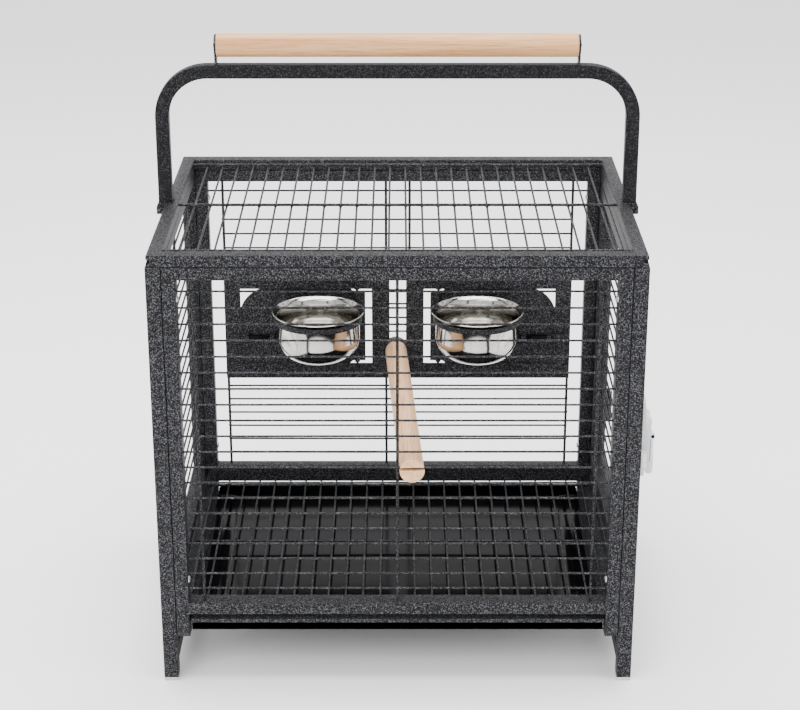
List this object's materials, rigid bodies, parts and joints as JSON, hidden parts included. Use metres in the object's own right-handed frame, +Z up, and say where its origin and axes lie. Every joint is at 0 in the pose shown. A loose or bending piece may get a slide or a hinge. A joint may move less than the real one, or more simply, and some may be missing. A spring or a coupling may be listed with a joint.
{
  "type": "bird travel cage",
  "caption": "Wire and square-tube bird travel cage with a wooden carry grip, side door, perch, steel cups on swing-out feeder doors and a pull-out tray.",
  "frame": {"origin": "on the floor, under the middle of the cage", "axes": "+Z up, -Y out of the front panel, +X to the side with the door"},
  "size_m": [0.511, 0.3638, 0.646],
  "materials": {
    "powder_coat": "black and silver hammertone powder coat",
    "grey_plastic": "pale grey moulded plastic",
    "latch_grey": "pale grey moulded latch",
    "zinc_steel": "zinc plated",
    "black_steel": "black oxide",
    "beech": "pale varnished hardwood dowel",
    "stainless": "polished stainless steel",
    "tray_black": "smooth glossy black, hammertone on the front lip"
  },
  "bodies": {
    "cage": {"corner_posts": "powder_coat", "foot_glides": "grey_plastic", "left_side_rails": "powder_coat", "right_side_rails": "powder_coat", "front_panel_frame": "powder_coat", "back_panel_frame": "powder_coat", "top_frame": "powder_coat", "front_grille": "powder_coat", "back_grille": "powder_coat", "left_grille": "powder_coat", "top_grille": "powder_coat", "floor_grate": "powder_coat", "tray_runners": "powder_coat", "rear_strip": "powder_coat", "panel_screws": "zinc_steel", "feeder_sheets": "powder_coat", "feeder_hinge_loops": "powder_coat", "feeder_hinge_pins": "powder_coat", "feeder_keepers": "powder_coat", "post_hinge_knuckles": "powder_coat", "door_hinge_pins": "zinc_steel", "latch_strike": "latch_grey", "carry_arch": "powder_coat", "arch_ears": "powder_coat", "arch_bolts": "black_steel", "grip": "beech", "grip_tabs": "powder_coat", "grip_screws": "black_steel", "perch": "beech", "perch_bolt": "zinc_steel", "perch_washer": "zinc_steel", "perch_wing_nut": "zinc_steel"},
    "side_door": {"door_frame": "powder_coat", "door_grille": "powder_coat", "door_hinge_knuckles": "powder_coat", "latch_base": "latch_grey", "latch_housing": "latch_grey", "latch_pin": "zinc_steel"},
    "lever": {"latch_lever": "latch_grey"},
    "bolt": {"latch_bolt": "zinc_steel"},
    "feeder_left": {"feeder_door_left": "powder_coat"},
    "feeder_right": {"feeder_door_right": "powder_coat"},
    "slide_bolt_left": {"feeder_bolt_left": "black_steel"},
    "slide_bolt_right": {"feeder_bolt_right": "black_steel"},
    "cup_left": {"bowl_left": "stainless"},
    "cup_right": {"bowl_right": "stainless"},
    "pull_tray": {"tray": "tray_black"}
  },
  "joints": [
    {"name": "side_door_swing", "type": "hinge", "parent": "cage", "child": "side_door", "pos_m": [0.248, 0.163, 0.27], "axis": [0, 0, 1], "range_deg": [0, 110]},
    {"name": "latch_lever_lift", "type": "hinge", "parent": "side_door", "child": "lever", "pos_m": [0.2575, -0.141, 0.269], "axis": [0, -1, 0], "range_deg": [0, 55]},
    {"name": "latch_bolt_slide", "type": "slide", "parent": "side_door", "child": "bolt", "axis": [0, -1, 0], "range_m": [0, 0.0101]},
    {"name": "feeder_left_swing", "type": "hinge", "parent": "cage", "child": "feeder_left", "pos_m": [-0.047, 0.1635, 0.267], "axis": [0, 0, -1], "range_deg": [0, 106]},
    {"name": "feeder_right_swing", "type": "hinge", "parent": "cage", "child": "feeder_right", "pos_m": [0.047, 0.1635, 0.267], "axis": [0, 0, 1], "range_deg": [0, 106]},
    {"name": "feeder_left_bolt", "type": "slide", "parent": "feeder_left", "child": "slide_bolt_left", "axis": [-1, 0, 0], "range_m": [0, 0.012]},
    {"name": "feeder_right_bolt", "type": "slide", "parent": "feeder_right", "child": "slide_bolt_right", "axis": [1, 0, 0], "range_m": [0, 0.012]},
    {"name": "cup_left_lift", "type": "slide", "parent": "feeder_left", "child": "cup_left", "axis": [0, 0, 1], "range_m": [0, 0.07]},
    {"name": "cup_right_lift", "type": "slide", "parent": "feeder_right", "child": "cup_right", "axis": [0, 0, 1], "range_m": [0, 0.07]},
    {"name": "tray_pull", "type": "slide", "parent": "cage", "child": "pull_tray", "axis": [0, -1, 0], "range_m": [0, 0.3]}
  ],
  "couplings": [
    {"joint": "latch_bolt_slide", "follows": "latch_lever_lift", "m_per_rad": 0.0104}
  ]
}
